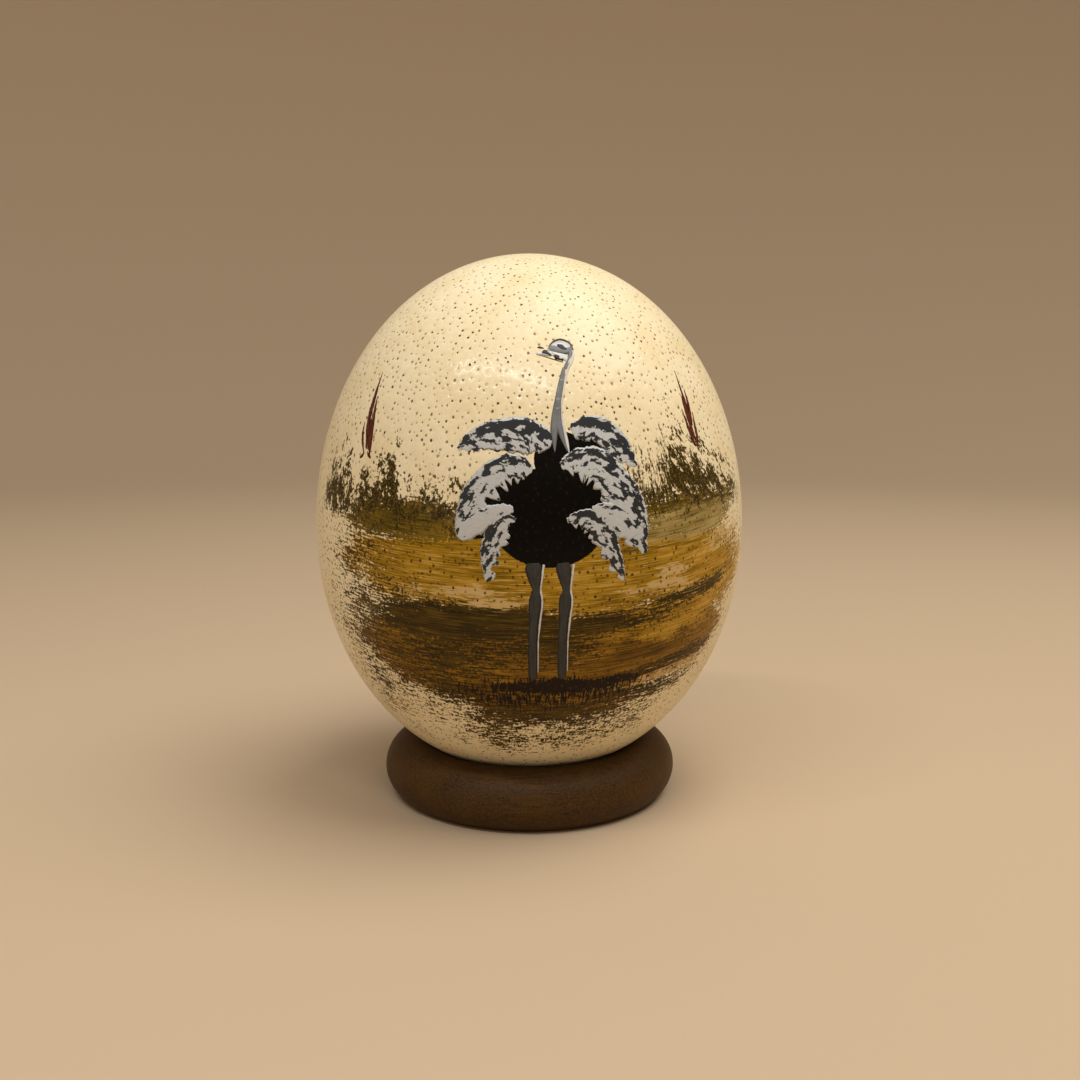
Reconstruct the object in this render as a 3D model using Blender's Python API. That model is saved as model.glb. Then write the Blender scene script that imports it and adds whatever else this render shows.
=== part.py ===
"""An ostrich egg standing upright in a turned wooden ring.

Metres, +Z up. The origin is the centre of the ring's flat underside, so the
part stands on z = 0. The egg's long axis and the ring's axis are both Z.
Two pieces: the egg, which is whole and grew as one thing, and the ring that
it rests in. Nothing holds the egg down, so it lifts straight out.
"""

import math

import bmesh
import bpy

# Driving dimensions, in metres.
EGG_LENGTH = 0.150
EGG_HALF_WIDTH = 0.0616
RING_CENTRE_RADIUS = 0.0344
RING_SECTION_RADIUS = 0.0087
RING_SECTION_HEIGHT = 0.0076
SEAT_GAP = 0.0003

# Shape of the egg's outline. A negative taper puts the fuller end down, and
# a positive fullness rounds the shoulders beyond an ellipse.
EGG_TAPER = -0.025
EGG_FULLNESS = 0.026

# Facets: around the axis, from pole to pole, and around the ring's section.
SEGMENTS = 72
EGG_ROWS = 40
RING_SECTION_STEPS = 22
WELD_DISTANCE = 0.00001

SHELL_COLOUR = (0.86, 0.76, 0.55, 1.0)
SHELL_ROUGHNESS = 0.25
RING_COLOUR = (0.085, 0.045, 0.020, 1.0)
RING_ROUGHNESS = 0.60


def clear_scene():
    """Remove every object that the new file starts with."""
    for old in list(bpy.data.objects):
        bpy.data.objects.remove(old, do_unlink=True)


def principled(name, colour, roughness):
    """A plain, non-metallic Principled material."""
    material = bpy.data.materials.new(name)
    material.use_nodes = True
    shader = material.node_tree.nodes["Principled BSDF"]
    shader.inputs["Base Color"].default_value = colour
    shader.inputs["Roughness"].default_value = roughness
    shader.inputs["Metallic"].default_value = 0.0
    material.diffuse_color = colour
    return material


def egg_outline(bottom_height):
    """Half outline of the egg as (radius, height) points, bottom pole to top pole."""
    outline = []
    half_length = EGG_LENGTH / 2
    for row in range(EGG_ROWS + 1):
        latitude = math.pi * (row / EGG_ROWS - 0.5)
        rise = math.sin(latitude)
        swell = 1 + EGG_TAPER * rise + EGG_FULLNESS * rise * rise
        radius = EGG_HALF_WIDTH * math.cos(latitude) * swell
        height = bottom_height + half_length * (1 + rise)
        outline.append((max(radius, 0.0), height))
    return outline


def clearance_to_ring(outline):
    """Shortest distance from the ring's section circle to the egg's outline."""
    nearest = math.inf
    for (r0, z0), (r1, z1) in zip(outline, outline[1:]):
        run = r1 - r0
        rise = z1 - z0
        along = (RING_CENTRE_RADIUS - r0) * run + (RING_SECTION_HEIGHT - z0) * rise
        share = min(max(along / (run * run + rise * rise), 0.0), 1.0)
        gap_r = r0 + share * run - RING_CENTRE_RADIUS
        gap_z = z0 + share * rise - RING_SECTION_HEIGHT
        nearest = min(nearest, math.hypot(gap_r, gap_z))
    return nearest - RING_SECTION_RADIUS


def resting_height():
    """Height of the egg's bottom pole when it sits in the ring, one gap clear."""
    low = RING_SECTION_HEIGHT - RING_SECTION_RADIUS
    high = RING_SECTION_HEIGHT + RING_SECTION_RADIUS
    for _ in range(50):
        middle = (low + high) / 2
        if clearance_to_ring(egg_outline(middle)) < SEAT_GAP:
            low = middle
        else:
            high = middle
    return high


def ring_section():
    """Closed section of the ring as (radius, height) points.

    A circle cut flat at z = 0, so that the ring stands on a flat annulus.
    """
    cut = math.asin(RING_SECTION_HEIGHT / RING_SECTION_RADIUS)
    sweep = math.pi + 2 * cut
    section = []
    for step in range(RING_SECTION_STEPS + 1):
        angle = -cut + sweep * step / RING_SECTION_STEPS
        radius = RING_CENTRE_RADIUS + RING_SECTION_RADIUS * math.cos(angle)
        height = RING_SECTION_HEIGHT + RING_SECTION_RADIUS * math.sin(angle)
        section.append((radius, max(height, 0.0)))
    return section


def turned(name, outline, closed, material, sharp_angle):
    """Spin an outline around Z into one closed solid."""
    mesh = bpy.data.meshes.new(name)
    work = bmesh.new()
    verts = [work.verts.new((radius, 0.0, height)) for radius, height in outline]
    edges = [work.edges.new(pair) for pair in zip(verts, verts[1:])]
    if closed:
        edges.append(work.edges.new((verts[-1], verts[0])))
    bmesh.ops.spin(
        work,
        geom=verts + edges,
        cent=(0.0, 0.0, 0.0),
        axis=(0.0, 0.0, 1.0),
        angle=2 * math.pi,
        steps=SEGMENTS,
        use_merge=True,
    )
    bmesh.ops.remove_doubles(work, verts=work.verts[:], dist=WELD_DISTANCE)
    bmesh.ops.recalc_face_normals(work, faces=work.faces[:])
    work.to_mesh(mesh)
    work.free()
    mesh.shade_smooth()
    mesh.set_sharp_from_angle(angle=sharp_angle)
    mesh.materials.append(material)
    solid = bpy.data.objects.new(name, mesh)
    bpy.context.scene.collection.objects.link(solid)
    return solid


def build_egg():
    """The egg, one whole body with no opening."""
    shell = principled("egg_shell", SHELL_COLOUR, SHELL_ROUGHNESS)
    return turned("egg", egg_outline(resting_height()), False, shell, math.pi)


def build_ring():
    """The turned ring. Its only sharp edges are where the flat underside starts."""
    wood = principled("stained_wood", RING_COLOUR, RING_ROUGHNESS)
    return turned("ring_stand", ring_section(), True, wood, math.radians(30))


def main():
    clear_scene()
    build_egg()
    build_ring()


main()
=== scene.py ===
# %% [markdown]
# # A painted ostrich egg in a wooden ring
#
# This lesson dresses a plain model of an ostrich egg in the way a savanna
# workshop does: the shell with its pores, a picture brushed on in acrylics, a
# coat of clear varnish, and a turned ring of stained wood that it stands in.
# The plain model gives every size and place, and nothing here moves it.

import math
import random

import bpy
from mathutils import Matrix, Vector, noise


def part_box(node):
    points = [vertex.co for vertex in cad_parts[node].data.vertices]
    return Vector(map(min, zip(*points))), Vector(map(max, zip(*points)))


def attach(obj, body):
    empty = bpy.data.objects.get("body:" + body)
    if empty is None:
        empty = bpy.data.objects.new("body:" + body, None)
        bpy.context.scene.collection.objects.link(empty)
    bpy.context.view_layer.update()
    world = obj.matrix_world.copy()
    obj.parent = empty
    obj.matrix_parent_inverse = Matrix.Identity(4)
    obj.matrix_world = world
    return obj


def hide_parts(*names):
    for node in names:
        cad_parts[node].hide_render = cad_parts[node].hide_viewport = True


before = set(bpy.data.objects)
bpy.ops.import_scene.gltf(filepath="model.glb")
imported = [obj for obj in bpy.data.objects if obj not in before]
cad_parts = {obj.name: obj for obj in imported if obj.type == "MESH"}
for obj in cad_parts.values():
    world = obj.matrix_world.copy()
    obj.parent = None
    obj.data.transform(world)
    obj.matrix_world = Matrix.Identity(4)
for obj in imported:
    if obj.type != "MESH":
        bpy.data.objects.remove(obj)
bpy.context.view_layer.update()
MM = 0.001

# %% [markdown]
# ## Measures
#
# The egg's outline follows one rule: an ellipse that is a little fuller below
# its middle and rounder at the shoulders. Its length, width and place come
# from the frame. The visible shell is drawn 0.15 mm smaller all round, which
# leaves room for raised paint, and it is let down until it touches the ring,
# as the real one does.

# %% The egg's outline
egg_low, egg_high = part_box("egg")
ring_low, ring_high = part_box("ring_stand")
PAINT_ROOM = 0.15 * MM
SEAT_DROP = 0.38 * MM
TAPER = -0.025
FULLNESS = 0.026
half_length = (egg_high[2] - egg_low[2]) / 2 - PAINT_ROOM
half_width = (egg_high[0] - egg_low[0]) / 2 - PAINT_ROOM
egg_middle = (egg_high[2] + egg_low[2]) / 2 - SEAT_DROP


def shell_radius(height):
    """Radius of the shell at a height above the floor."""
    rise = min(max((height - egg_middle) / half_length, -1.0), 1.0)
    return half_width * math.sqrt(1 - rise * rise) * (1 + TAPER * rise + FULLNESS * rise * rise)


def shell_point(direction):
    """The shell's point that lies along a unit direction on the unit ball."""
    swell = 1 + TAPER * direction.z + FULLNESS * direction.z ** 2
    spread = half_width * swell
    return Vector((direction.x * spread, direction.y * spread, egg_middle + half_length * direction.z))


def nearest_on_shell(point):
    """The shell's point over a point that lies close to it."""
    rise = (point.z - egg_middle) / half_length
    spread = half_width * (1 + TAPER * rise + FULLNESS * rise * rise)
    return shell_point(Vector((point.x / spread, point.y / spread, rise)).normalized())


print("shell", round(half_width * 2 / MM, 1), "mm wide,", round(half_length * 2 / MM, 1), "mm long")


# %% [markdown]
# ## Helpers
#
# New pieces are made with Blender's own operators. An operator acts on all
# that is selected, so one helper clears the selection and makes one object
# active. A second helper gives a finished piece its name, its material, its
# body and its smooth shading. Faces and corners are picked in code, by their
# place, so a third helper clears what is selected inside a mesh.

# %% Selecting and finishing
def only(piece):
    """Select one object and make it active."""
    for other in bpy.context.selected_objects:
        other.select_set(False)
    piece.select_set(True)
    bpy.context.view_layer.objects.active = piece


def nothing_picked(mesh):
    """Clear the selection inside a mesh."""
    for part in (mesh.vertices, mesh.edges, mesh.polygons):
        part.foreach_set("select", [False] * len(part))


def finish_piece(piece, name, material):
    """Name a piece, shade it smooth, give it its material and its body."""
    piece.name = name
    piece.data.name = name
    piece.data.materials.clear()
    piece.data.materials.append(material)
    only(piece)
    bpy.ops.object.shade_smooth()
    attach(piece, "root")
    print(name, len(piece.data.polygons), "faces")


# %% [markdown]
# A colour picked on a screen is an sRGB one, written as six hex digits, but
# Blender's materials reckon in linear light, so each is converted once.

# %% Colours
def linear(hex_colour):
    """An sRGB hex colour as a linear RGBA tuple."""
    parts = [int(hex_colour[i:i + 2], 16) / 255 for i in (1, 3, 5)]
    return tuple(c / 12.92 if c <= 0.04045 else ((c + 0.055) / 1.055) ** 2.4 for c in parts) + (1.0,)


print("middle grey in linear light:", round(linear("#808080")[0], 3))

# %% [markdown]
# A material is a net of nodes. It could be wired up by hand in the shader
# editor; in code, one small function adds a node, sets it and links it, so a
# finish reads as a list of steps.

# %% Nodes
def node(tree, kind, *links, **settings):
    """Add a shader node.

    Each link is (input, value): the value is another node, which gives its
    first output, or a socket, or a constant. Settings are the node's own.
    """
    made = tree.nodes.new(kind)
    for name, value in settings.items():
        setattr(made, name, value)
    for place, value in links:
        socket = made.inputs[place]
        if isinstance(value, bpy.types.Node):
            tree.links.new(value.outputs[0], socket)
        elif isinstance(value, bpy.types.NodeSocket):
            tree.links.new(value, socket)
        else:
            socket.default_value = value
    return made


def new_material(name):
    """A material with no nodes yet; returns the material and its tree."""
    material = bpy.data.materials.new(name)
    material.use_nodes = True
    material.node_tree.nodes.clear()
    print("material", name)
    return material, material.node_tree


# %% [markdown]
# ## The shell
#
# An ostrich's shell is pitted with pores, each a dark point in a small dimple,
# about one to every five square millimetres. Their places are random, but no
# two are closer than 1.3 mm. They could be drawn in the material, but real
# pits catch the varnish's shine, so they are modelled: the pores' places are
# the corners of a net stretched over the egg, each corner is bevelled into a
# small polygon, and the polygon is poked inwards. Most pores are longer than
# they are wide, so the net is squashed for the bevel and drawn out again.

# %% Scattering the pores
PORE_AREA = 5.2 * MM * MM
PORE_APART = 1.3 * MM
random.seed(11)


def scatter_pores():
    """Points on the shell at random, none nearer to another than PORE_APART."""
    area = 4 * math.pi * (half_width * half_width * half_length) ** (2 / 3)
    wanted = int(area / PORE_AREA)
    cells = {}
    places = []
    while len(places) < wanted:
        z = random.uniform(-1, 1)
        turn = random.uniform(-math.pi, math.pi)
        flat = math.sqrt(1 - z * z)
        point = shell_point(Vector((flat * math.cos(turn), flat * math.sin(turn), z)))
        key = tuple(int(math.floor(c / PORE_APART)) for c in point)
        near = (
            other
            for i in (-1, 0, 1) for j in (-1, 0, 1) for k in (-1, 0, 1)
            for other in cells.get((key[0] + i, key[1] + j, key[2] + k), ())
        )
        if all((other - point).length > PORE_APART for other in near):
            cells.setdefault(key, []).append(point)
            places.append(point)
    return places


pores = scatter_pores()
print(len(pores), "pores")

# %% The net over the egg
net = bpy.data.meshes.new("shell_net")
net.from_pydata([tuple(p) for p in pores], [], [])
shell = bpy.data.objects.new("shell_net", net)
bpy.context.scene.collection.objects.link(shell)
only(shell)
bpy.ops.object.mode_set(mode="EDIT")
bpy.ops.mesh.select_all(action="SELECT")
bpy.ops.mesh.convex_hull()
bpy.ops.mesh.select_all(action="SELECT")
bpy.ops.mesh.subdivide(number_cuts=1)
bpy.ops.object.mode_set(mode="OBJECT")

pore_corners = {tuple(p) for p in pores}
for vertex in shell.data.vertices:
    if tuple(vertex.co) not in pore_corners:
        vertex.co = nearest_on_shell(vertex.co)
print("net", len(shell.data.vertices), "corners", len(shell.data.polygons), "faces")

# %% Pressing the pores in
PORE_RADII = (0.25 * MM, 0.32 * MM, 0.39 * MM, 0.46 * MM)
PORE_STRETCH = 1.5
PORE_DEPTH = 0.13 * MM
corner_list = []
for vertex in shell.data.vertices:
    is_pore = tuple(vertex.co) in pore_corners
    vertex.co.z /= PORE_STRETCH
    if is_pore:
        corner_list.append(tuple(vertex.co))
corner_list.sort()
random.shuffle(corner_list)
for size, radius in enumerate(PORE_RADII):
    group = set(corner_list[size::len(PORE_RADII)])
    nothing_picked(shell.data)
    for vertex in shell.data.vertices:
        vertex.select = tuple(vertex.co) in group
    bpy.ops.object.mode_set(mode="EDIT")
    bpy.ops.mesh.select_mode(type="VERT")
    bpy.ops.mesh.bevel(offset=radius, affect="VERTICES", segments=1, clamp_overlap=True)
    bpy.ops.mesh.select_mode(type="FACE")
    bpy.ops.mesh.poke(offset=-PORE_DEPTH * radius / PORE_RADII[1], use_relative_offset=False)
    bpy.ops.object.mode_set(mode="OBJECT")
for vertex in shell.data.vertices:
    vertex.co.z *= PORE_STRETCH
bpy.ops.object.mode_set(mode="EDIT")
bpy.ops.mesh.select_all(action="SELECT")
bpy.ops.mesh.quads_convert_to_tris()
bpy.ops.mesh.normals_make_consistent(inside=False)
bpy.ops.object.mode_set(mode="OBJECT")
print("shell", len(shell.data.vertices), "corners", len(shell.data.polygons), "triangles")

# %% [markdown]
# The material must know where the pits are, to darken them. Each corner of the
# mesh carries a number: how deep it lies under the shell's smooth surface.

# %% How deep each corner lies
depths = []
for vertex in shell.data.vertices:
    sunk = (nearest_on_shell(vertex.co) - vertex.co).length
    depths.append(min(sunk / PORE_DEPTH, 1.0))
pit = shell.data.attributes.new("pit", "FLOAT", "POINT")
pit.data.foreach_set("value", depths)
print("pitted corners", sum(d > 0.4 for d in depths))

# %% [markdown]
# ## The picture, first layers
#
# The painter works on the egg's front in layers, thin to thick. The thin ones
# are brushed so dry that the shell shows through: an ochre plain with umber
# and amber bands, bushes dabbed on with a stiff brush, and the bird's black
# body. They have no thickness to speak of, so they belong in the shell's
# material. Each is a soft-edged shape, broken up by a noise that is stretched
# the way the brush moved. Places on the canvas are in millimetres: `across`
# follows the shell round from the middle of the front, `up` is the height.

# %% The canvas
shell_material, tree = new_material("varnished_ostrich_shell")
spot = node(tree, "ShaderNodeTexCoord").outputs["Object"]
spot_mm = node(tree, "ShaderNodeVectorMath", (0, spot), (3, 1 / MM), operation="SCALE")
xyz = node(tree, "ShaderNodeSeparateXYZ", (0, spot_mm))
front_x = xyz.outputs[0]
up = xyz.outputs[2]
toward = node(tree, "ShaderNodeMath", (0, xyz.outputs[1]), (1, -1.0), operation="MULTIPLY")
turn = node(tree, "ShaderNodeMath", (0, front_x), (1, toward), operation="ARCTAN2")
across = node(tree, "ShaderNodeMath", (0, turn), (1, half_width / MM), operation="MULTIPLY")


def weigh(start, *terms):
    """A sum: start plus each (value, factor) of terms."""
    total = start
    for value, factor in terms:
        total = node(tree, "ShaderNodeMath", (0, value), (1, factor), (2, total), operation="MULTIPLY_ADD")
    return total


def limit(value, factor=1.0, offset=0.0):
    """value * factor + offset, kept between 0 and 1."""
    return node(tree, "ShaderNodeMath", (0, value), (1, factor), (2, offset),
                operation="MULTIPLY_ADD", use_clamp=True)


def times(first, second):
    """One mask seen through another."""
    return node(tree, "ShaderNodeMath", (0, first), (1, second), operation="MULTIPLY")


# The brush rises a little to both sides as it follows the egg round.
RISE = 0.0012
level = weigh(up, (times(across, across), -RISE))
canvas = node(tree, "ShaderNodeCombineXYZ", (0, across), (1, level))
print("canvas", round(math.pi * half_width / MM), "mm from the middle of the front to the back")


# %% [markdown]
# Four helpers paint on the canvas: a noise drawn out by the brush, one colour
# laid over another, a run of colours, and an oval place.

# %% Brushes
def brushed(long, high, detail=3.0, on=canvas, seed=0.0):
    """Noise drawn out by a brush: marks `long` mm across and `high` mm up."""
    drawn = node(tree, "ShaderNodeVectorMath", (0, on), (1, (1 / long, 1 / high, 0.0)),
                 (2, (seed, seed * 1.7, 0.0)), operation="MULTIPLY_ADD")
    return node(tree, "ShaderNodeTexNoise", ("Vector", drawn), ("Scale", 1.0), ("Detail", detail),
                ("Roughness", 0.62), noise_dimensions="2D").outputs[0]


def over(mask, below, above):
    """One colour laid over another through a mask."""
    return node(tree, "ShaderNodeMix", (0, mask), (6, below), (7, above), data_type="RGBA").outputs[2]


def ramp(value, low, high, stops):
    """A colour ramp whose stops are given in the value's own units."""
    share = node(tree, "ShaderNodeMapRange", ("Value", value), ("From Min", low), ("From Max", high))
    made = node(tree, "ShaderNodeValToRGB", (0, share))
    while len(made.color_ramp.elements) < len(stops):
        made.color_ramp.elements.new(0.5)
    for element, (at, colour) in zip(made.color_ramp.elements, stops):
        element.position = (at - low) / (high - low)
        element.color = colour
    return made.outputs[0]


def oval(centre, size, slope=0.0, x=across):
    """0 at an oval's middle and 1 at its edge, squared in between."""
    dx = weigh(-centre[0] / size[0], (x, 1 / size[0]))
    dy = weigh(-centre[1] / size[1], (up, 1 / size[1]), (dx, -slope * size[0] / size[1]))
    return node(tree, "ShaderNodeMath", (0, dy), (1, dy), (2, times(dx, dx)), operation="MULTIPLY_ADD")


# %% [markdown]
# Brush noises are made once and shared: long streaks and hair lines for the
# plain, upright dabs for the bushes, a sponge's stipple, and wide patches
# where the hand pressed more or less. Flecks are what a dry brush leaves, and
# blots are the longer bare spots between them. A mark's edge is crisp, as
# acrylic dries before it can run.

# %% Brush noises
CRISP = 5.0
streak = brushed(26.0, 1.6)
bristle = brushed(4.5, 0.50, detail=2.0, seed=3.1)
hair = brushed(9.0, 0.32, detail=2.0, seed=8.3)
stipple = brushed(0.85, 0.75, detail=3.0, seed=5.7)
patch = brushed(13.0, 7.0, detail=3.0, seed=1.3)
lean = limit(across, 0.05, -1.0)
slanted = node(tree, "ShaderNodeCombineXYZ", (0, weigh(across, (times(up, lean), 0.6))), (1, up))
dabs = brushed(0.85, 1.4, detail=3.0, on=slanted, seed=2.9)
tufts = brushed(3.2, 4.2, detail=2.0, on=slanted, seed=6.1)
flecks = weigh(-0.5, (bristle, 0.38), (stipple, 0.37), (patch, 0.25))
blots = weigh(-0.5, (bristle, 0.40), (streak, 0.30), (patch, 0.30))
print("brush noises", sum(n.bl_idname == "ShaderNodeTexNoise" for n in tree.nodes))


def swath(picture, colour, centre, size, load=1.4, grit=4.5, slope=0.0, grain=flecks):
    """Drag paint over an oval place: solid in its middle, flecks at its rim."""
    paint = weigh(load, (oval(centre, size, slope), -load), (grain, grit))
    return over(limit(paint, CRISP), picture, colour)


# %% [markdown]
# Bare shell is cream, a little warmer in soft patches. The earth colours are
# not mixed evenly: each runs from dark to light along the bristles.

# %% Shell and earth colours
cloud = node(tree, "ShaderNodeTexNoise", ("Vector", spot_mm), ("Scale", 0.09), ("Detail", 3.0))
mottle = node(tree, "ShaderNodeTexNoise", ("Vector", spot_mm), ("Scale", 1.2), ("Detail", 2.0))
shell_tone = ramp(weigh(0.0, (cloud, 0.6), (mottle, 0.4)), 0.30, 0.70, (
    (0.30, linear("#e8d6aa")), (0.48, linear("#f0e2bd")), (0.70, linear("#f4e9c9"))))
grain_line = weigh(0.0, (hair, 0.45), (streak, 0.30), (patch, 0.25))


def earth(dark, middle, bright):
    """An earth colour that runs from dark to light along the bristles."""
    return ramp(grain_line, 0.34, 0.66, (
        (0.36, linear(dark)), (0.49, linear(middle)), (0.64, linear(bright))))


mustard = earth("#604a0a", "#a27c12", "#cba344")
amber = earth("#463206", "#79560a", "#a98022")
umber = earth("#251c03", "#3b2d05", "#685011")
olive = earth("#3a2f0a", "#675414", "#8a6f1e")
sage = earth("#6b5b29", "#99844a", "#b8a46e")
straw = earth("#7b5c10", "#b3881c", "#d4aa4c")
thin_wash = linear("#cdb077")

# %% [markdown]
# The plain: mustard under the horizon, umber bands, amber earth, and dark
# scrub thinning out at the foot. Each line is one swath of the brush.

# %% The plain
picture = shell_tone
picture = swath(picture, amber, (-14, 55.0), (40, 16.0), load=1.7)
picture = swath(picture, amber, (30, 55.0), (38, 13.5), load=1.8, slope=0.04)
picture = swath(picture, amber, (8, 43.0), (34, 10.0), load=1.2)
picture = swath(picture, mustard, (9, 76.0), (67, 13.5), load=1.5)
picture = swath(picture, mustard, (44, 64.0), (26, 8.0), load=0.9, slope=0.10)
picture = swath(picture, straw, (59, 71.0), (19, 11.0), load=0.9, slope=0.10)
picture = swath(picture, umber, (-19, 62.5), (33, 6.2), load=1.0, grit=5.5)
picture = swath(picture, umber, (-24, 53.0), (20, 5.0), load=0.4, grit=6.0)
picture = swath(picture, umber, (4, 57.0), (15, 6.0), load=0.5, grit=6.0)
picture = swath(picture, umber, (14, 61.8), (27, 3.2), load=0.7, grit=5.5, slope=0.05)
picture = swath(picture, umber, (44, 66.8), (20, 2.4), load=0.5, grit=5.5, slope=0.17)
picture = swath(picture, umber, (43, 49.0), (19, 1.9), load=0.5, grit=5.5, slope=0.15)
picture = swath(picture, umber, (38, 42.0), (17, 3.4), load=0.4, grit=6.0, slope=0.10)
picture = swath(picture, umber, (4, 36.0), (33, 5.5), load=0.5, grit=6.0)
picture = swath(picture, umber, (5, 30.5), (25, 5.0), load=0.25, grit=6.0)
picture = swath(picture, umber, (-24, 43.0), (20, 6.0), load=0.25, grit=5.0)
print("swaths on the plain:", sum(n.bl_idname == "ShaderNodeMix" for n in tree.nodes))

# %% [markdown]
# Where the brush ran dry the shell shows through a pale, thin wash, most of
# all between the mustard and the umber. These places are longer than flecks,
# so they are laid with the blots, and hair lines are rubbed through the
# mustard above them.

# %% Worn places
picture = swath(picture, thin_wash, (-9, 69.0), (9, 2.0), load=0.25, grit=6.0, grain=blots)
picture = swath(picture, thin_wash, (-22, 70.0), (9, 1.2), load=0.15, grit=6.0, grain=blots)
picture = swath(picture, thin_wash, (34, 69.6), (8, 1.4), load=0.15, grit=6.0, slope=0.05, grain=blots)
picture = swath(picture, thin_wash, (40, 74.2), (6, 1.4), load=0.45, grit=6.0, grain=blots)
picture = swath(picture, thin_wash, (61, 80.0), (7, 2.2), load=0.35, grit=6.0, grain=blots)
picture = swath(picture, shell_tone, (-52, 62.0), (9, 6.0), load=0.20, grit=6.0)
picture = swath(picture, umber, (-49, 58.0), (9, 15.0), load=0.10, grit=6.0)
picture = swath(picture, thin_wash, (45, 45.8), (10, 1.8), load=0.20, grit=6.0, slope=0.13, grain=blots)
rubbed = times(limit(hair, 7.0, -4.4), limit(oval((10, 76), (62, 13)), -1.6, 1.6))
picture = over(rubbed, picture, thin_wash)
print("with the worn places:", sum(n.bl_idname == "ShaderNodeMix" for n in tree.nodes))

# %% [markdown]
# The bushes are dabbed upright with an almost dry brush, so they are dense and
# greenish at the foot and break into specks at the top. Their tops follow a
# skyline of (across, height) in millimetres.

# %% The bushes
SKYLINE = (
    (-72, 84), (-66, 98), (-60, 101), (-54, 97), (-50.5, 89), (-48, 99), (-46, 100),
    (-44.3, 92), (-42.5, 101), (-37, 101), (-33, 93), (-29, 91), (-24, 94), (-19, 93), (-14, 89),
    (22, 92), (28, 99), (36, 98), (38, 104), (44, 107), (50, 104), (57, 102), (62, 97),
    (71, 96), (77, 89),
)
LOWEST_TOP = 80.0
HIGHEST_TOP = 110.0
picture = swath(picture, olive, (-33, 87.5), (24, 5.5), load=1.0)
picture = swath(picture, olive, (46, 89.5), (27, 4.5), load=0.8, slope=0.04)
picture = swath(picture, sage, (46, 86.3), (22, 4.4), load=1.1, slope=0.08)
greys = [(at, ((top - LOWEST_TOP) / (HIGHEST_TOP - LOWEST_TOP),) * 3 + (1.0,)) for at, top in SKYLINE]
skyline = ramp(across, SKYLINE[0][0], SKYLINE[-1][0], greys)
headroom = weigh(LOWEST_TOP, (skyline, HIGHEST_TOP - LOWEST_TOP), (up, -1.0))
leaves = weigh(-0.5, (dabs, 0.34), (stipple, 0.26), (tufts, 0.40))
# The dabs thin out towards the skyline, and below the bushes' foot there are none.
dense = weigh(0.05, (headroom, 0.085), (leaves, 7.0))
foot = weigh(-11.5, (up, 0.132), (leaves, 6.0), (lean, -0.50))
bush_mask = times(limit(dense, CRISP), limit(foot, CRISP))
ends = limit(oval((2.0, 90.0), (76.0, 40.0)), -6.0, 6.0)
bush_tone = over(limit(stipple, 6.0, -2.9), linear("#30260a"), linear("#66541e"))
picture = over(times(bush_mask, ends), picture, bush_tone)
print("skyline of", len(SKYLINE), "places")

# %% [markdown]
# The bird stands in its own shadow: a dark patch whose rim is drawn out up
# and down, as the grass it lies in.

# %% Ground shadow
SHADOW = linear("#1e1105")
grass = weigh(-0.5, (brushed(0.7, 3.0, detail=2.0, seed=9.9), 0.8), (patch, 0.2))
picture = swath(picture, SHADOW, (8, 44.9), (20, 2.1), load=1.8, grit=4.5, grain=grass)
picture = swath(picture, SHADOW, (27, 46.0), (8, 1.3), load=1.4, grit=4.0, grain=grass)
picture = swath(picture, SHADOW, (5, 46.6), (8, 1.3), load=0.8, grit=6.0, grain=grass)
picture = swath(picture, SHADOW, (7, 43.0), (19, 3.0), load=0.4, grit=7.0, grain=grass)
print("shadow in linear light:", [round(c, 4) for c in SHADOW[:3]])

# %% [markdown]
# The body is one glossy black shape with a firm edge, a heap of ovals under
# the plumes. Each oval is its middle, its half width and half height in
# millimetres, and its slope.

# %% The body
BODY = (
    ((5.5, 89.0), (14.4, 12.2), 0.0),
    ((8.2, 103.0), (6.6, 6.6), 0.0),
    ((-6.5, 94.0), (6.5, 4.0), 0.3),
    ((-11.5, 85.6), (4.5, 1.7), 0.12),
    ((16.5, 94.0), (7.0, 4.5), -0.2),
    ((14.8, 106.4), (5.4, 2.4), -0.1),
)
BODY_CRISP = 40.0
BODY_RAGGED = 3.0
body = oval(BODY[0][0], BODY[0][1], x=front_x)
for centre, size, slope in BODY[1:]:
    lump = oval(centre, size, slope, x=front_x)
    body = node(tree, "ShaderNodeMath", (0, body), (1, lump), operation="MINIMUM")
body_edge = weigh(BODY_CRISP + 0.5 + BODY_RAGGED / 2, (body, -BODY_CRISP), (stipple, -BODY_RAGGED))
body_mask = times(limit(body_edge), limit(toward))
print("body of", len(BODY), "ovals")

# %% [markdown]
# The pores are stained: brown points in the bare shell and darker points in the
# thin paint. In the black body they are painted glints instead: faint, lighter
# brown points. No two are equally dark. Between them lie pinpricks, the
# shallowest pores, which are too small to model and are drawn as specks.

# %% Stained pores, and painted glints in the black
pit_depth = node(tree, "ShaderNodeAttribute", attribute_name="pit").outputs["Fac"]
pore_stain_and_glint = limit(pit_depth, 4.0, -0.10)
uneven = node(tree, "ShaderNodeTexNoise", ("Vector", spot_mm), ("Scale", 0.45), ("Detail", 1.0))
pinpricks = node(tree, "ShaderNodeTexVoronoi", ("Vector", spot_mm), ("Scale", 0.9))
picture = over(limit(pinpricks, -2.4, 0.45), picture, linear("#6d5226"))
picture = over(times(pore_stain_and_glint, limit(uneven, 2.6, -0.55)), picture, linear("#4b3310"))
# In the black body the pores are painted glints: lighter brown points where a pit would catch the light.
black = over(limit(pore_stain_and_glint, 0.22), linear("#060504"), linear("#3c2c1c"))
picture = over(body_mask, picture, black)

# %% [markdown]
# The varnish is a thin clear coat over shell and paint. It gives the eye the
# soft, rippled shine of the lamps: it has pooled in slow swells, it follows
# the shell's fine grain, and it lies over the bristle marks in the paint. The
# paint under it drinks a little of it, so it shines less there. A clear coat
# on the Principled shader does this without a second skin of faces.

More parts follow.
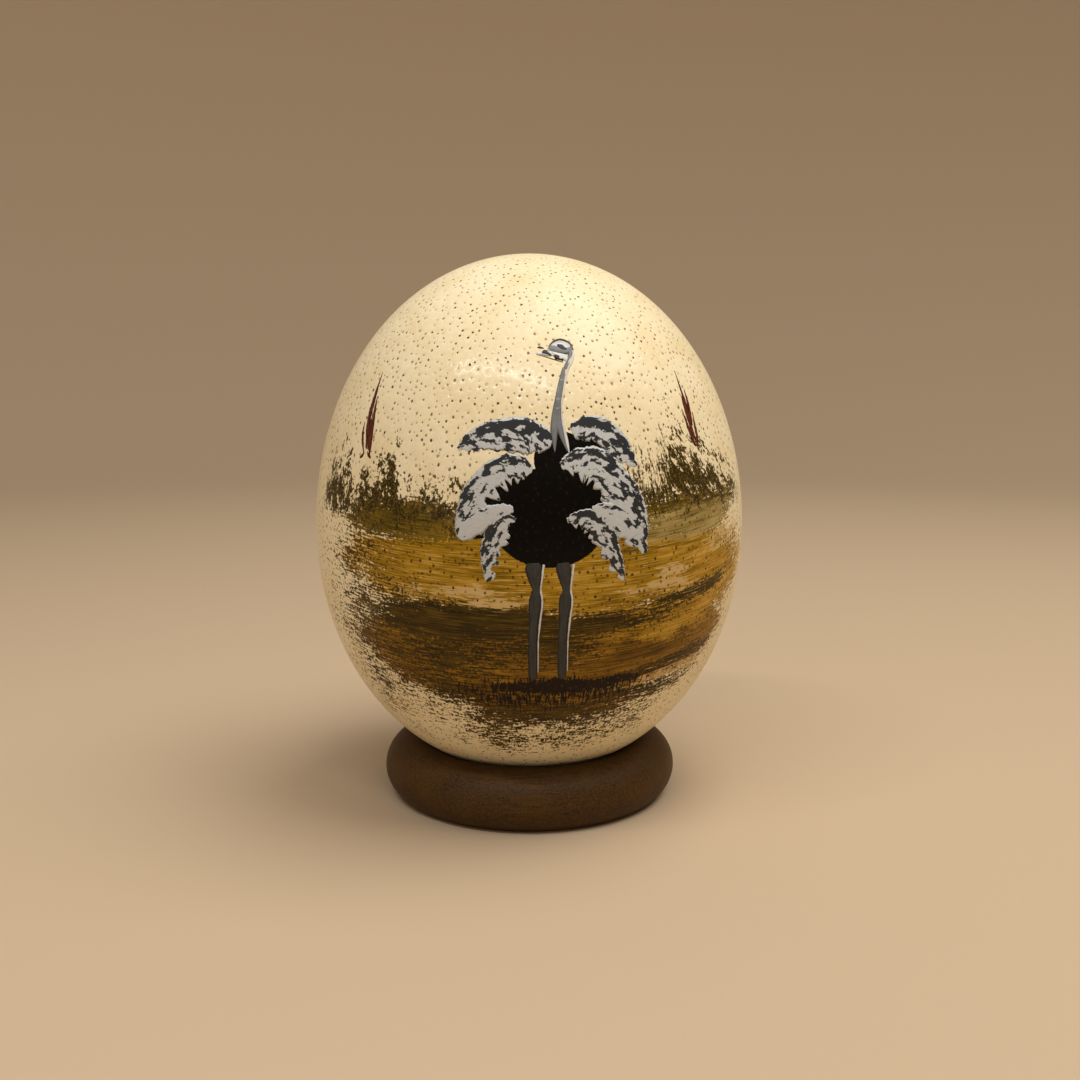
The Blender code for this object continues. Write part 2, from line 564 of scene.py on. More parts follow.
# %% Varnish
PAINTED_MIDDLE = (9, 66)
PAINTED_SIZE = (66, 34)
grain = node(tree, "ShaderNodeTexNoise", ("Vector", spot_mm), ("Scale", 1.1), ("Detail", 3.0))
swell = node(tree, "ShaderNodeTexNoise", ("Vector", spot_mm), ("Scale", 0.16), ("Detail", 2.0))
painted = limit(oval(PAINTED_MIDDLE, PAINTED_SIZE), -3.0, 3.0)
paint_height = weigh(0.0, (times(painted, bristle), 0.30), (grain, 0.12), (swell, 1.2))
relief = node(tree, "ShaderNodeBump", ("Height", paint_height), ("Strength", 0.35), ("Distance", 0.12 * MM))
surface = node(
    tree, "ShaderNodeBsdfPrincipled", ("Base Color", picture), ("Normal", relief),
    ("Roughness", 0.5), ("IOR", 1.5), ("Specular IOR Level", 0.06), ("Coat Roughness", 0.12),
    ("Coat Weight", weigh(0.30, (body_mask, -0.10), (painted, -0.10))), ("Coat Normal", relief),
)
node(tree, "ShaderNodeOutputMaterial", ("Surface", surface))
finish_piece(shell, "egg_shell", shell_material)
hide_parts("egg")

# %% [markdown]
# ## The picture, thick strokes
#
# The bird's neck, legs and plumes are painted thick enough to feel with a
# finger. Flat shapes in the material could show their colour but not their
# raised edge, so each brush stroke is a thin solid of its own, laid on the
# shell: a strip of rows that follows the stroke, a little domed, and closed
# underneath. Blender's operators have no brush that lays paint on a curved
# wall, so the strips are worked out row by row. Places on the front are x,
# sideways, and z, the height, in millimetres.

# %% Places on the front
def on_shell(x, z, lift):
    """The point at x and z (mm) on the egg's front, raised by lift (mm)."""
    x = x * MM
    z = z * MM
    radius = shell_radius(z)
    slope = (shell_radius(z + 0.5 * MM) - shell_radius(z - 0.5 * MM)) / MM
    depth = math.sqrt(max(radius * radius - x * x, 0.0))
    normal = Vector((x / radius, -depth / radius, -slope)).normalized()
    return Vector((x, -depth, z)) + normal * (lift * MM)


def on_curve(points, share):
    """A point on a smooth curve through a list of points, share from 0 to 1."""
    reach = share * (len(points) - 1)
    i = min(int(reach), len(points) - 2)
    t = reach - i
    p0 = points[max(i - 1, 0)]
    p1 = points[i]
    p2 = points[i + 1]
    p3 = points[min(i + 2, len(points) - 1)]
    return tuple(
        0.5 * (2 * b + (c - a) * t + (2 * a - 5 * b + 4 * c - d) * t * t + (3 * b - a - 3 * c + d) * t ** 3)
        for a, b, c, d in zip(p0, p1, p2, p3)
    )


def route_length(points):
    """How long a stroke is, from point to point, in mm."""
    return sum(math.dist(p[:2], q[:2]) for p, q in zip(points, points[1:]))


print("paint may rise", round(PAINT_ROOM / MM, 2), "mm before it leaves the plain model's room")

# %% [markdown]
# A strip's rows stand a step apart. Each row's corners run from one side of
# the stroke to the other, and one more corner lies under the shell's surface,
# so that the strip is closed and has no gap below it. Each corner keeps where
# it lies in its stroke, for the material.

# %% Laying a stroke
THINNEST = 0.03
ABOVE_SHELL = 0.012
BELOW_SHELL = 0.10


def wander(place, seed, size):
    """A smooth random distance along a stroke's edge, coarse and fine together."""
    coarse = noise.noise(Vector((place * 1.1, seed, 1.7)))
    fine = noise.noise(Vector((place * 3.3, seed, 4.3)))
    return size * (coarse + 0.6 * fine)


class Paint:
    """The strokes of one colour: corners, faces, and where each corner lies in its stroke."""

    def __init__(self):
        self.corners = []
        self.faces = []
        self.brush = []
        self.soot = []


def stroke(
        paint, points, thick=0.05, ragged=0.0, step=0.5, columns=5,
        spikes=(), side=1, seed=0.0, soot=0.0):
    """Lay one stroke of paint.

    Points are (x, z, half width) in mm. Ragged is how far, in mm, the bristles
    wander at each side. Spikes are (place, height, width) in mm on the inner side.
    """
    length = route_length(points)
    rows = max(4, int(length / step) + 1)
    start = len(paint.corners)
    for row in range(rows + 1):
        share = row / rows
        place = share * length
        x, z, half = on_curve(points, share)
        half = max(half, THINNEST)
        ahead = on_curve(points, min(share + 0.01, 1.0))
        behind = on_curve(points, max(share - 0.01, 0.0))
        run = Vector((ahead[0] - behind[0], ahead[1] - behind[1]))
        out = Vector((-run.y, run.x)).normalized() * side
        heights = (high * max(0.0, 1 - ((place - at) / wide) ** 2) for at, high, wide in spikes)
        inner = max(half + wander(place, seed, ragged), THINNEST) + max(heights, default=0.0)
        outer = max(half + wander(place, seed + 31.7, ragged), THINNEST)
        for column in range(columns):
            reach = 2 * column / (columns - 1) - 1
            offset = reach * (inner if reach > 0 else outer)
            lift = thick * (1 - reach ** 4) + ABOVE_SHELL
            paint.corners.append(on_shell(x + out.x * offset, z + out.y * offset, lift))
            paint.brush.append((place + seed * 40, offset, -reach))
        paint.corners.append(on_shell(x, z, -BELOW_SHELL))
        paint.brush.append((place + seed * 40, 0.0, 0.0))
    paint.soot += [soot] * (len(paint.corners) - start)
    ring = columns + 1
    for row in range(rows):
        a = start + row * ring
        b = a + ring
        for k in range(ring):
            n = (k + 1) % ring
            paint.faces.append((a + k, b + k, b + n, a + n))
    paint.faces.append(tuple(start + k for k in range(ring)))
    paint.faces.append(tuple(start + rows * ring + k for k in reversed(range(ring))))


def paint_piece(name, paint, material):
    """Make the strokes of one colour into one piece."""
    mesh = bpy.data.meshes.new(name)
    mesh.from_pydata([tuple(c) for c in paint.corners], [], paint.faces)
    brush = mesh.attributes.new("brush", "FLOAT_VECTOR", "POINT")
    brush.data.foreach_set("vector", [number for corner in paint.brush for number in corner])
    mesh.attributes.new("soot", "FLOAT", "POINT").data.foreach_set("value", paint.soot)
    piece = bpy.data.objects.new(name, mesh)
    bpy.context.scene.collection.objects.link(piece)
    only(piece)
    bpy.ops.object.mode_set(mode="EDIT")
    bpy.ops.mesh.select_all(action="SELECT")
    bpy.ops.mesh.quads_convert_to_tris()
    bpy.ops.mesh.normals_make_consistent(inside=False)
    bpy.ops.object.mode_set(mode="OBJECT")
    finish_piece(piece, name, material)


# %% [markdown]
# Acrylic dries to an even, slightly waxy film. Under the varnish it keeps a
# faint mottling, where the stroke was thinner. A loaded brush also leaves a
# darker line along each side of its stroke, as on the reeds. All the thick
# paints end in the same varnished surface.

# %% Acrylic
def varnished(tree, colour, height, strength, depth):
    """Close a paint material: its colour and relief under the clear varnish."""
    relief = node(
        tree, "ShaderNodeBump", ("Height", height), ("Strength", strength), ("Distance", depth))
    surface = node(
        tree, "ShaderNodeBsdfPrincipled", ("Base Color", colour), ("Normal", relief),
        ("Roughness", 0.5), ("IOR", 1.5), ("Specular IOR Level", 0.12),
        ("Coat Weight", 0.25), ("Coat Roughness", 0.16))
    node(tree, "ShaderNodeOutputMaterial", ("Surface", surface))


def acrylic(name, tone, thin, size=1.2, rim=0.0):
    """Acrylic paint under varnish: a tone, and another where it is thin or at the rim."""
    material, tree = new_material(name)
    brush = node(tree, "ShaderNodeAttribute", attribute_name="brush").outputs["Vector"]
    place = node(tree, "ShaderNodeMapping", ("Vector", brush), ("Scale", (0.25 / size, 1 / size, 0.0)))
    fine = node(tree, "ShaderNodeTexNoise", ("Vector", place), ("Scale", 1.0), ("Detail", 4.0),
                ("Roughness", 0.7))
    reach = node(tree, "ShaderNodeSeparateXYZ", (0, brush)).outputs[2]
    edge = node(tree, "ShaderNodeMath", (0, reach), (1, reach), operation="MULTIPLY")
    worn = node(tree, "ShaderNodeMath", (0, edge), (1, rim), (2, fine), operation="MULTIPLY_ADD")
    share = node(tree, "ShaderNodeMapRange", ("Value", worn), ("From Min", 0.42), ("From Max", 0.66))
    mixed = node(tree, "ShaderNodeMix", (0, share), (6, linear(tone)), (7, linear(thin)), data_type="RGBA")
    varnished(tree, mixed.outputs[2], fine, 0.25, 0.08 * MM)
    return material


# %% [markdown]
# The plumes are pale grey dry-brushed over charcoal. The charcoal shows along
# each plume's upper edge and in flecks that follow the barbs; a thin pale
# fringe runs outside it. Each corner of a plume knows how far along it lies
# and how far across, so the flecks bend with the plume. The table below says
# how much charcoal shows, from the plume's lower side, 0, to its upper, 1.

# %% Plume material
ACROSS_PLUME = (
    (0.0, 0.15), (0.12, 0.34), (0.45, 0.36), (0.62, 0.52),
    (0.74, 0.66), (0.90, 0.66), (0.95, 0.30), (1.0, 0.10),
)
CHARCOAL_LEVEL = 2.2
CHARCOAL_CRISP = 9.0


def plume_paint(name):
    """Pale grey over charcoal; the piece's soot attribute says how much charcoal shows."""
    material, tree = new_material(name)
    soot = node(tree, "ShaderNodeAttribute", attribute_name="soot").outputs["Fac"]
    brush = node(tree, "ShaderNodeAttribute", attribute_name="brush").outputs["Vector"]
    parts = node(tree, "ShaderNodeSeparateXYZ", (0, brush))
    combed = node(tree, "ShaderNodeMath", (0, parts.outputs[1]), (1, 0.5), (2, parts.outputs[0]),
                  operation="MULTIPLY_ADD")
    place = node(tree, "ShaderNodeCombineXYZ", (0, combed), (1, parts.outputs[1]))
    flock = node(tree, "ShaderNodeMapping", ("Vector", place), ("Scale", (0.42, 0.62, 1.0)))
    barbs = node(tree, "ShaderNodeMapping", ("Vector", place), ("Scale", (1.9, 1.0, 1.0)))
    wide = node(tree, "ShaderNodeTexNoise", ("Vector", flock), ("Scale", 1.0), ("Detail", 2.0))
    fine = node(tree, "ShaderNodeTexNoise", ("Vector", barbs), ("Scale", 1.0), ("Detail", 3.0),
                ("Roughness", 0.65))
    rim = node(tree, "ShaderNodeMapRange", ("Value", parts.outputs[2]), ("From Min", -1.0),
               ("From Max", 1.0))
    profile = node(tree, "ShaderNodeValToRGB", (0, rim))
    while len(profile.color_ramp.elements) < len(ACROSS_PLUME):
        profile.color_ramp.elements.new(0.5)
    for element, (at, grey) in zip(profile.color_ramp.elements, ACROSS_PLUME):
        element.position = at
        element.color = (grey, grey, grey, 1.0)
    amount = node(tree, "ShaderNodeMath", (0, wide), (1, 2.6), (2, profile.outputs[0]),
                  operation="MULTIPLY_ADD")
    amount = node(tree, "ShaderNodeMath", (0, fine), (1, 0.8), (2, amount), operation="MULTIPLY_ADD")
    amount = node(tree, "ShaderNodeMath", (0, amount), (1, soot), operation="ADD")
    dark = node(tree, "ShaderNodeMath", (0, amount), (1, CHARCOAL_CRISP),
                (2, -CHARCOAL_CRISP * CHARCOAL_LEVEL), operation="MULTIPLY_ADD", use_clamp=True)
    pale = node(tree, "ShaderNodeMix", (0, fine), (6, linear("#cfd3d6")), (7, linear("#aeb2b5")),
                data_type="RGBA").outputs[2]
    tone = node(tree, "ShaderNodeMix", (0, dark), (6, pale), (7, linear("#2d3034")),
                data_type="RGBA").outputs[2]
    height = node(tree, "ShaderNodeMath", (0, dark), (1, -0.6), (2, fine), operation="MULTIPLY_ADD")
    varnished(tree, tone, height, 0.4, 0.06 * MM)
    return material


# %% [markdown]
# The plumes hang in three pairs, upper, middle and lower. Each is a leaf along
# a curved spine of (x, z, half width). After the spine come the side that its
# spikes point to, the spikes' height and how sooty it is. The middle ones
# have a second, paler leaf below.

# %% Plumes
PLUMES = (
    (((6.0, 107.4, 1.6), (3.0, 108.1, 3.3), (-0.5, 108.8, 4.2), (-5.0, 108.9, 3.9), (-10.0, 108.5, 3.2),
      (-14.0, 107.2, 1.9), (-16.9, 105.3, 0.6)), 1, 0.8, 0.16),
    (((1.3, 100.6, 0.8), (-1.5, 101.5, 2.5), (-5.0, 101.4, 2.9), (-8.3, 99.6, 3.1), (-11.3, 96.7, 3.0),
      (-13.8, 93.2, 2.8), (-15.5, 89.6, 2.1), (-16.4, 86.3, 1.3), (-16.6, 83.6, 0.4)), 1, 3.4, 0.02),
    (((-2.9, 88.3, 0.5), (-4.6, 88.9, 1.2), (-6.7, 87.4, 2.0), (-7.9, 84.8, 2.5), (-8.8, 81.8, 2.4),
      (-9.6, 78.9, 1.8), (-9.9, 76.0, 1.0), (-9.8, 73.2, 0.3)), 1, 1.6, 0.12),
    (((10.5, 110.8, 0.8), (13.0, 110.5, 2.4), (16.0, 110.6, 2.9), (19.0, 109.4, 2.9), (21.6, 107.0, 2.9),
      (23.6, 104.5, 2.5), (25.4, 102.5, 1.4), (26.9, 100.9, 0.4)), -1, 1.0, 0.18),
    (((8.2, 101.3, 0.8), (11.0, 102.4, 2.6), (15.0, 102.5, 3.6), (18.6, 100.6, 3.9), (21.6, 97.0, 4.1),
      (24.2, 92.8, 4.2), (26.3, 88.6, 3.5), (27.9, 84.4, 2.3), (29.0, 79.3, 0.6)), -1, 3.0, 0.04),
    (((9.7, 88.3, 0.5), (12.0, 88.9, 1.5), (15.0, 88.8, 2.3), (17.4, 87.0, 2.8), (19.2, 84.2, 2.8),
      (20.7, 80.9, 2.3), (22.1, 77.6, 1.5), (23.4, 74.8, 0.8), (24.1, 72.6, 0.2)), -1, 1.6, 0.14),
)
PALE_LEAVES = (
    (((-3.4, 91.3, 0.8), (-6.0, 90.9, 1.6), (-9.0, 89.8, 2.2), (-12.0, 88.0, 2.6), (-14.8, 85.7, 2.3),
      (-16.6, 83.8, 0.9)), 1, 0.5, -0.28),
    (((15.8, 91.3, 0.5), (18.5, 90.8, 1.7), (21.3, 89.4, 2.6), (24.2, 86.6, 2.9), (26.3, 83.6, 1.6)),
     -1, 1.6, -0.18),
)
random.seed(5)


def spikes_for(spine, most):
    """Spikes at random places on a leaf's inner side, up to `most` mm high."""
    length = route_length(spine)
    found = []
    place = random.uniform(1.5, 3.0)
    while place < length - 1.5:
        found.append((place, most * random.uniform(0.35, 1.0), random.uniform(0.8, 1.4)))
        place += random.uniform(1.8, 3.8)
    return found


plumes = Paint()
for number, (spine, side, most, soot) in enumerate(PLUMES):
    stroke(plumes, spine, thick=0.04, ragged=0.40, step=0.2, columns=13, spikes=spikes_for(spine, most),
           side=side, seed=number * 3.7, soot=soot)
for number, (spine, side, most, soot) in enumerate(PALE_LEAVES):
    stroke(plumes, spine, thick=0.07, ragged=0.35, step=0.2, columns=9, spikes=spikes_for(spine, most),
           side=side, seed=40 + number * 3.7, soot=soot)
paint_piece("plumes", plumes, plume_paint("pale_grey_acrylic_over_charcoal"))

# %% [markdown]
# The neck is two long strokes that part over the breast, and a short one up to
# the head. The bird is painted in four greys, from dark to light, and each
# grey's strokes are gathered in one piece. Points are (x, z, half width), and
# the number after them is how thick the paint lies.

# %% Neck
grey = Paint()
slate = Paint()
dark = Paint()
light = Paint()
stroke(grey, (
    (9.0, 124.9, 0.36), (8.3, 121.5, 0.62), (7.35, 117.0, 0.68), (6.85, 113.5, 0.90),
    (6.65, 111.0, 1.00), (6.5, 109.0, 0.88), (6.6, 107.0, 0.55), (6.7, 104.7, 0.06)), 0.05)
stroke(grey, (
    (9.1, 124.7, 0.30), (8.6, 121.5, 0.45), (7.8, 117.0, 0.52), (7.6, 113.5, 0.70),
    (7.8, 111.0, 0.76), (8.2, 109.2, 0.66), (8.9, 107.2, 0.42), (9.8, 104.8, 0.06)), 0.05)
stroke(grey, ((9.9, 126.6, 0.24), (9.65, 125.6, 0.46), (9.2, 124.6, 0.34)), 0.05)
print("neck", len(grey.faces), "faces")

# %% [markdown]
# The head is a few short strokes laid one over another: the pale face and bill
# first, then the greys of the crown and nape, the dark eye, nostril and mouth,
# and a line under the bill. Where strokes cross, the one to be seen is laid
# thicker, so it lies on top.

# %% Head
stroke(light, (
    (5.0, 129.2, 0.4), (6.6, 129.7, 1.5), (8.6, 129.7, 1.8), (10.3, 129.3, 1.3),
    (11.1, 128.6, 0.5)), 0.045)
stroke(light, ((6.0, 128.7, 0.5), (7.6, 128.0, 0.9), (9.2, 127.4, 0.8), (10.2, 126.6, 0.5)), 0.045)
stroke(light, ((2.0, 128.4, 0.10), (3.6, 128.5, 0.50), (5.4, 128.4, 0.75), (6.6, 128.3, 0.5)), 0.04)
stroke(grey, (
    (5.2, 129.7, 0.5), (6.3, 129.6, 1.0), (8.0, 129.2, 0.95), (9.6, 129.1, 0.95),
    (10.8, 129.4, 0.8)), 0.085)
stroke(grey, ((10.9, 130.2, 0.4), (10.6, 128.4, 0.5), (10.2, 127.2, 0.35), (9.9, 126.5, 0.2)), 0.085)
stroke(slate, (
    (5.4, 130.2, 0.16), (6.3, 131.2, 0.20), (7.9, 131.85, 0.24), (9.5, 131.5, 0.24),
    (10.7, 130.7, 0.22), (11.3, 129.2, 0.14)), 0.095)
stroke(dark, (
    (7.4, 130.5, 0.26), (8.1, 130.1, 0.66), (8.9, 129.7, 0.70), (9.7, 129.4, 0.26)),
    0.115, ragged=0.15)
stroke(dark, ((2.4, 129.85, 0.10), (3.1, 129.85, 0.30), (4.1, 129.6, 0.10)), 0.07)
stroke(dark, ((3.6, 128.6, 0.28), (4.5, 128.6, 0.60), (5.9, 128.0, 0.30)), 0.07, ragged=0.2)
stroke(dark, ((6.6, 127.9, 0.34), (7.5, 127.5, 0.62), (8.9, 126.8, 0.36)), 0.07, ragged=0.2)
stroke(light, ((7.8, 127.4, 0.12), (8.1, 127.3, 0.26), (8.5, 127.1, 0.12)), 0.09)
stroke(slate, ((2.2, 128.1, 0.05), (4.0, 127.7, 0.12), (6.2, 127.0, 0.13), (8.9, 126.2, 0.10)), 0.06)
print("head", len(dark.faces), "faces of the darkest grey")

# %% [markdown]
# The legs are strokes that swell at the knee. A thin light line runs down the
# right side of the neck and of each leg, and three small light marks cross
# the neck.

# %% Light lines and legs
stroke(light, (
    (11.5, 129.2, 0.14), (11.3, 127.8, 0.32), (10.8, 126.2, 0.40), (10.0, 124.6, 0.30),
    (9.3, 121.0, 0.16), (8.6, 116.5, 0.14), (8.45, 113.0, 0.20), (9.0, 110.2, 0.32),
    (9.7, 107.0, 0.36), (10.2, 104.5, 0.12)), 0.07)
for z, x in ((122.0, 8.5), (117.4, 7.5), (115.2, 7.3)):
    stroke(light, ((x - 0.45, z + 0.1, 0.04), (x, z - 0.1, 0.09), (x + 0.45, z + 0.1, 0.04)), 0.07)
for x, thigh in ((1.6, 1.0), (8.95, 0.92)):
    stroke(slate, (
        (x - 0.2, 78.0, 1.5 * thigh), (x - 0.1, 76.6, 2.05 * thigh), (x + 0.2, 74.2, 1.65 * thigh),
        (x + 0.6, 71.2, 0.95), (x + 0.4, 69.2, 1.45), (x + 0.25, 67.0, 1.55), (x, 64.0, 1.2),
        (x - 0.2, 59.5, 1.08), (x - 0.3, 54.0, 1.15), (x - 0.3, 47.5, 1.1)), 0.06, ragged=0.08)
    stroke(light, (
        (x + 2.4, 77.6, 0.28), (x + 2.0, 74.2, 0.24), (x + 1.7, 71.2, 0.22), (x + 2.1, 68.2, 0.22),
        (x + 1.6, 63.8, 0.22), (x + 1.1, 58.0, 0.16), (x + 1.0, 49.5, 0.12)), 0.08, ragged=0.10)
paint_piece("bird_grey", grey, acrylic("mid_grey_acrylic", "#7b7f83", "#686c70"))
paint_piece("bird_slate", slate, acrylic("slate_grey_acrylic", "#3e3e3e", "#2f2f2f"))
paint_piece("bird_dark", dark, acrylic("dark_grey_acrylic", "#2b2a29", "#1d1c1b"))
paint_piece("bird_light", light, acrylic("light_grey_acrylic", "#dde0e2", "#bdbfc0"))

# %% [markdown]
# Two clumps of red-brown reeds stand at the sides, above the bushes: a tall
# blade and shorter ones beside it, each drawn upwards with a lifted brush.
# Each row is a blade's foot, middle, upper part and tip, and its half width.

# %% Reeds
reeds = Paint()
REEDS = (
    ((-41.5, 104.5), (-40.9, 111.6), (-39.6, 117.4), (-37.8, 123.5), 0.46),
    ((-40.1, 107.6), (-39.7, 111.0), (-39.3, 114.8), (-38.7, 117.5), 0.34),
    ((-40.5, 102.8), (-40.2, 106.3), (-39.8, 109.6), (-39.2, 112.6), 0.42),
    ((-41.3, 104.2), (-41.4, 107.4), (-41.3, 110.8), (-40.9, 114.6), 0.36),
    ((-40.8, 104.0), (-40.7, 107.0), (-40.4, 110.0), (-39.9, 113.4), 0.40),
    ((-42.2, 103.0), (-42.6, 105.8), (-42.7, 108.2), (-42.2, 111.0), 0.30),
    ((-43.3, 101.8), (-42.9, 102.2), (-42.5, 102.6), (-42.1, 103.4), 0.34),
    ((-40.1, 102.0), (-40.5, 102.4), (-40.8, 102.8), (-41.1, 103.6), 0.34),
    ((43.6, 105.6), (42.1, 109.6), (40.6, 116.0), (38.1, 123.9), 0.44),
    ((42.5, 110.0), (42.0, 113.0), (41.4, 116.2), (40.6, 119.3), 0.36),
    ((42.3, 109.0), (41.2, 112.4), (40.4, 115.2), (39.5, 117.8), 0.40),
    ((44.0, 104.6), (43.8, 107.2), (43.2, 110.2), (42.7, 113.4), 0.32),
    ((43.3, 104.7), (42.1, 107.5), (40.9, 110.6), (39.6, 114.3), 0.34),
)
for number, (low, middle, upper, tip, half) in enumerate(REEDS):
    stroke(reeds, ((*low, half * 0.5), (*middle, half), (*upper, half * 0.85), (*tip, 0.05)), 0.05,
           ragged=0.10, step=0.25, columns=7, seed=number * 2.3)
paint_piece("reeds", reeds, acrylic("red_brown_acrylic", "#6d3321", "#30120a", 0.5, 0.22))

# %% [markdown]
# ## The ring
#
# The egg stands in a ring turned from one piece of hardwood. Its section is a
# round that is cut flat where it stands. A torus with a cut would leave the
# foot's corners sharp, so the section is cut and its corners are bevelled
# first, as sandpaper breaks an edge, and then it is spun.

# %% Turning the ring
SECTION_RADIUS = 8.7 * MM
FOOT_BEVEL = 0.7 * MM
SECTION_CORNERS = 72
TURNS = 180
ON_PLANE = 0.001 * MM
JOIN = 0.01 * MM
ring_radius = (ring_high[0] - ring_low[0]) / 2
section_centre = (ring_radius - SECTION_RADIUS, 0.0, ring_high[2] - SECTION_RADIUS)
bpy.ops.object.select_all(action="DESELECT")
bpy.ops.mesh.primitive_circle_add(
    vertices=SECTION_CORNERS, radius=SECTION_RADIUS, fill_type="NGON",
    location=section_centre, rotation=(math.pi / 2, 0, 0))
ring = bpy.context.active_object
bpy.ops.object.transform_apply(location=True, rotation=True, scale=True)
bpy.ops.object.mode_set(mode="EDIT")
bpy.ops.mesh.select_all(action="SELECT")
bpy.ops.mesh.bisect(plane_co=(0, 0, 0), plane_no=(0, 0, 1), clear_inner=True, threshold=ON_PLANE)
bpy.ops.object.mode_set(mode="OBJECT")
nothing_picked(ring.data)
for vertex in ring.data.vertices:
    vertex.select = vertex.co.z < JOIN
bpy.ops.object.mode_set(mode="EDIT")
bpy.ops.mesh.select_mode(type="VERT")
bpy.ops.mesh.bevel(offset=FOOT_BEVEL, affect="VERTICES", segments=3)
bpy.ops.mesh.select_all(action="SELECT")
bpy.ops.mesh.delete(type="ONLY_FACE")
bpy.ops.mesh.select_all(action="SELECT")
bpy.ops.mesh.spin(steps=TURNS, angle=2 * math.pi, center=(0, 0, 0), axis=(0, 0, 1))
bpy.ops.mesh.select_all(action="SELECT")
bpy.ops.mesh.remove_doubles(threshold=JOIN)
bpy.ops.mesh.normals_make_consistent(inside=False)
bpy.ops.object.mode_set(mode="OBJECT")
print("ring", round(ring_radius * 2 / MM, 1), "mm across,", len(ring.data.polygons), "faces")

# %% [markdown]
# The stain sinks unevenly into the wood, so the eye sees brown that runs from
# dark to light along fine fibres, with open pores as specks. It isn't
# varnished, so its sheen is dull. The fibres run one way through the whole
# ring, because it is cut from one board: they are a noise drawn out along x.

# %% Stained wood
wood, tree = new_material("stained_turned_hardwood")
spot = node(tree, "ShaderNodeTexCoord").outputs["Object"]
FIBRE_LONG = 9.0 * MM
FIBRE_WIDE = 0.35 * MM
CLOUD_SIZE = 9.0 * MM
SPECK_SIZE = 0.5 * MM
grain_place = node(tree, "ShaderNodeMapping", ("Vector", spot),
                   ("Scale", (1 / FIBRE_LONG, 1 / FIBRE_WIDE, 1 / FIBRE_WIDE)))
fibre = node(tree, "ShaderNodeTexNoise", ("Vector", grain_place), ("Scale", 1.0), ("Detail", 3.0))
cloud = node(tree, "ShaderNodeTexNoise", ("Vector", spot), ("Scale", 1 / CLOUD_SIZE), ("Detail", 3.0))
speck = node(tree, "ShaderNodeTexNoise", ("Vector", spot), ("Scale", 1 / SPECK_SIZE), ("Detail", 3.0))
blend = node(tree, "ShaderNodeMath", (0, fibre), (1, 0.45), operation="MULTIPLY")
blend = node(tree, "ShaderNodeMath", (0, cloud), (1, 0.15), (2, blend), operation="MULTIPLY_ADD")
blend = node(tree, "ShaderNodeMath", (0, speck), (1, 0.40), (2, blend), operation="MULTIPLY_ADD")
tone = node(tree, "ShaderNodeValToRGB", (0, blend))
tone.color_ramp.elements[0].position = 0.36
tone.color_ramp.elements[0].color = linear("#2c1d08")
tone.color_ramp.elements[1].position = 0.62
tone.color_ramp.elements[1].color = linear("#573c18")
relief = node(tree, "ShaderNodeBump", ("Height", fibre), ("Strength", 0.3), ("Distance", 0.08 * MM))
surface = node(tree, "ShaderNodeBsdfPrincipled", ("Base Color", tone.outputs[0]), ("Roughness", 0.55),
               ("Specular IOR Level", 0.2), ("Normal", relief))
node(tree, "ShaderNodeOutputMaterial", ("Surface", surface))
finish_piece(ring, "turned_ring", wood)
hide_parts("ring_stand")

# %% [markdown]
# ## The studio
#
# A pale floor of matt paper turns up into a round wall, so no horizon shows
# from any side. A disc, its rim drawn upwards and its corner bevelled round,
# is enough.

# %% Floor and wall
STUDIO_RADIUS = 1.6
WALL_HEIGHT = 1.6
CORNER_RADIUS = 0.7
bpy.ops.object.select_all(action="DESELECT")
bpy.ops.mesh.primitive_circle_add(
    vertices=96, radius=STUDIO_RADIUS, fill_type="NGON", location=(0, 0, 0))
floor = bpy.context.active_object
floor.name = "studio_floor"
bpy.ops.object.mode_set(mode="EDIT")
bpy.ops.mesh.select_mode(type="EDGE")
bpy.ops.mesh.select_all(action="SELECT")
bpy.ops.mesh.region_to_loop()
bpy.ops.mesh.extrude_edges_move(TRANSFORM_OT_translate={"value": (0, 0, WALL_HEIGHT)})
bpy.ops.object.mode_set(mode="OBJECT")
for edge in floor.data.edges:
    edge.select = all(abs(floor.data.vertices[v].co.z) < 1e-6 for v in edge.vertices)
bpy.ops.object.mode_set(mode="EDIT")
bpy.ops.mesh.bevel(offset=CORNER_RADIUS, segments=12, profile=0.5)
bpy.ops.object.mode_set(mode="OBJECT")
bpy.ops.object.shade_smooth()
floor_material, tree = new_material("matt_paper")
surface = node(tree, "ShaderNodeBsdfPrincipled", ("Base Color", linear("#c3af95")), ("Roughness", 0.95),
               ("Specular IOR Level", 0.1))
node(tree, "ShaderNodeOutputMaterial", ("Surface", surface))
floor.data.materials.append(floor_material)
print("studio", STUDIO_RADIUS * 2, "m across")

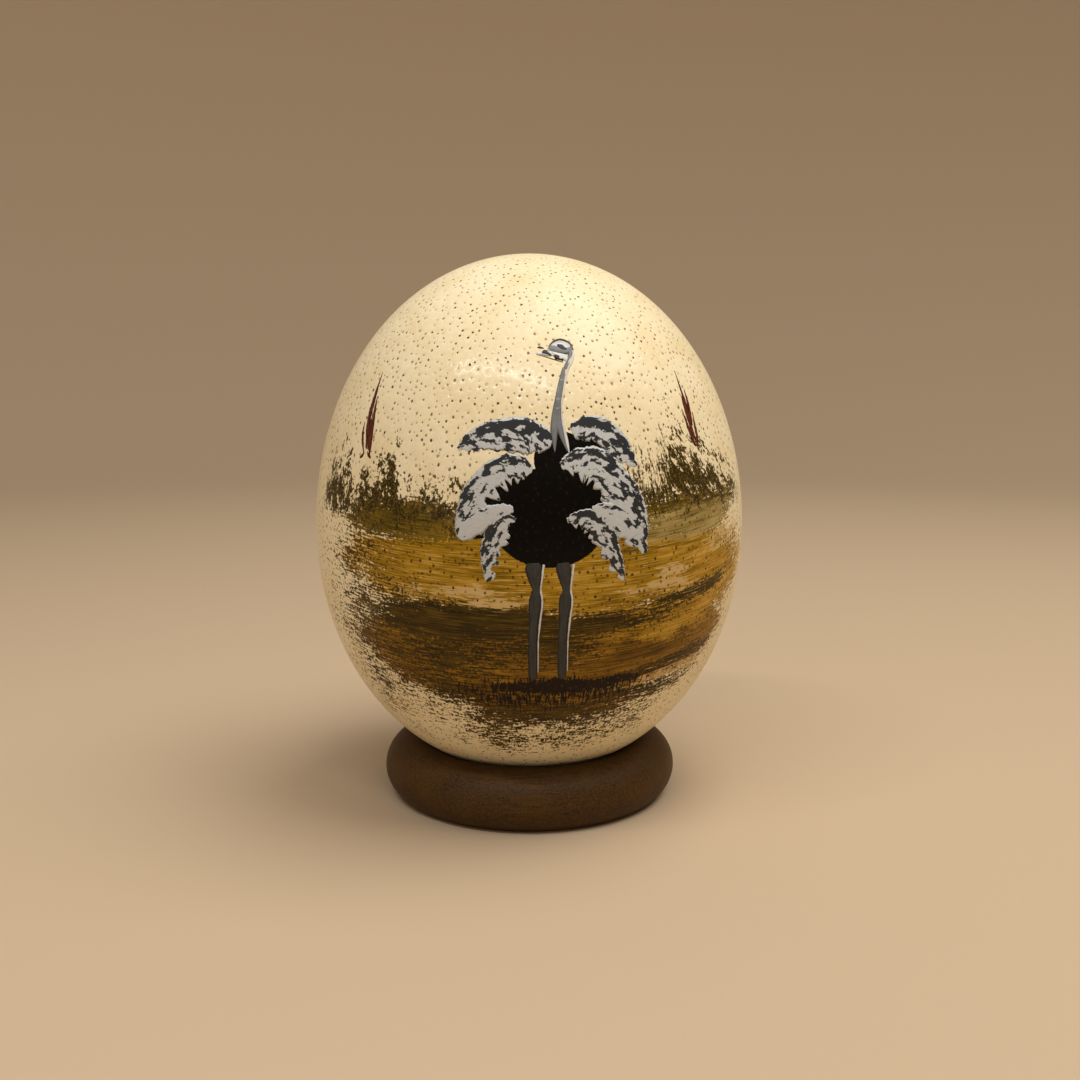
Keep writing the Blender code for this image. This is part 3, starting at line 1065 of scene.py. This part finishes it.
# %% [markdown]
# Varnish shows its shape by what it mirrors. A warm soft box high on the right
# is the key; a long, narrow one lays the glossy streak above the plumes; a
# weak one at the left fills the shade, with an even, pale surrounding.

# %% Light
EGG_CENTRE = (0.0, 0.0, egg_middle)
WARM = (1.0, 0.94, 0.84)
MILD = (1.0, 0.95, 0.88)
PALE = (1.0, 0.97, 0.93)
SURROUND = 0.40


def soft_light(name, place, size, power, colour):
    """A soft box of size (long, wide), in metres, that faces the egg; power in watts."""
    light = bpy.data.lights.new(name, "AREA")
    light.shape = "RECTANGLE"
    light.size = size[0]
    light.size_y = size[1]
    light.energy = power
    light.color = colour
    lamp = bpy.data.objects.new(name, light)
    bpy.context.scene.collection.objects.link(lamp)
    lamp.location = place
    lamp.rotation_euler = (Vector(EGG_CENTRE) - Vector(place)).to_track_quat("-Z", "Y").to_euler()
    print("lamp", name, power, "W")


soft_light("key", (0.40, -0.10, 1.05), (0.8, 0.8), 9.3, WARM)
soft_light("strip", (-0.20, -0.50, 0.88), (0.8, 0.04), 3.0, MILD)
soft_light("fill", (-0.7, -0.9, 0.45), (0.9, 0.9), 0.9, PALE)
world = bpy.data.worlds.new("studio")
bpy.context.scene.world = world
world.use_nodes = True
background = world.node_tree.nodes["Background"]
background.inputs["Color"].default_value = (*PALE, 1.0)
background.inputs["Strength"].default_value = SURROUND
bpy.context.scene.view_settings.view_transform = "Standard"

# %% [markdown]
# The camera stands in front at the height of the bird's head and looks down a
# little, so that the ring's upper side is seen under the egg.

# %% Camera
CAMERA_PLACE = (0.0031, -0.3486, 0.1284)
LOOKS_DOWN = 8.84
camera_data = bpy.data.cameras.new("camera")
camera_data.lens = 40.0
camera_data.sensor_width = 36.0
camera = bpy.data.objects.new("camera", camera_data)
bpy.context.scene.collection.objects.link(camera)
camera.location = CAMERA_PLACE
camera.rotation_euler = (math.radians(90 - LOOKS_DOWN), 0.0, 0.0)
bpy.context.scene.camera = camera
print("camera", round(math.dist(CAMERA_PLACE, EGG_CENTRE) / MM), "mm from the egg's centre")
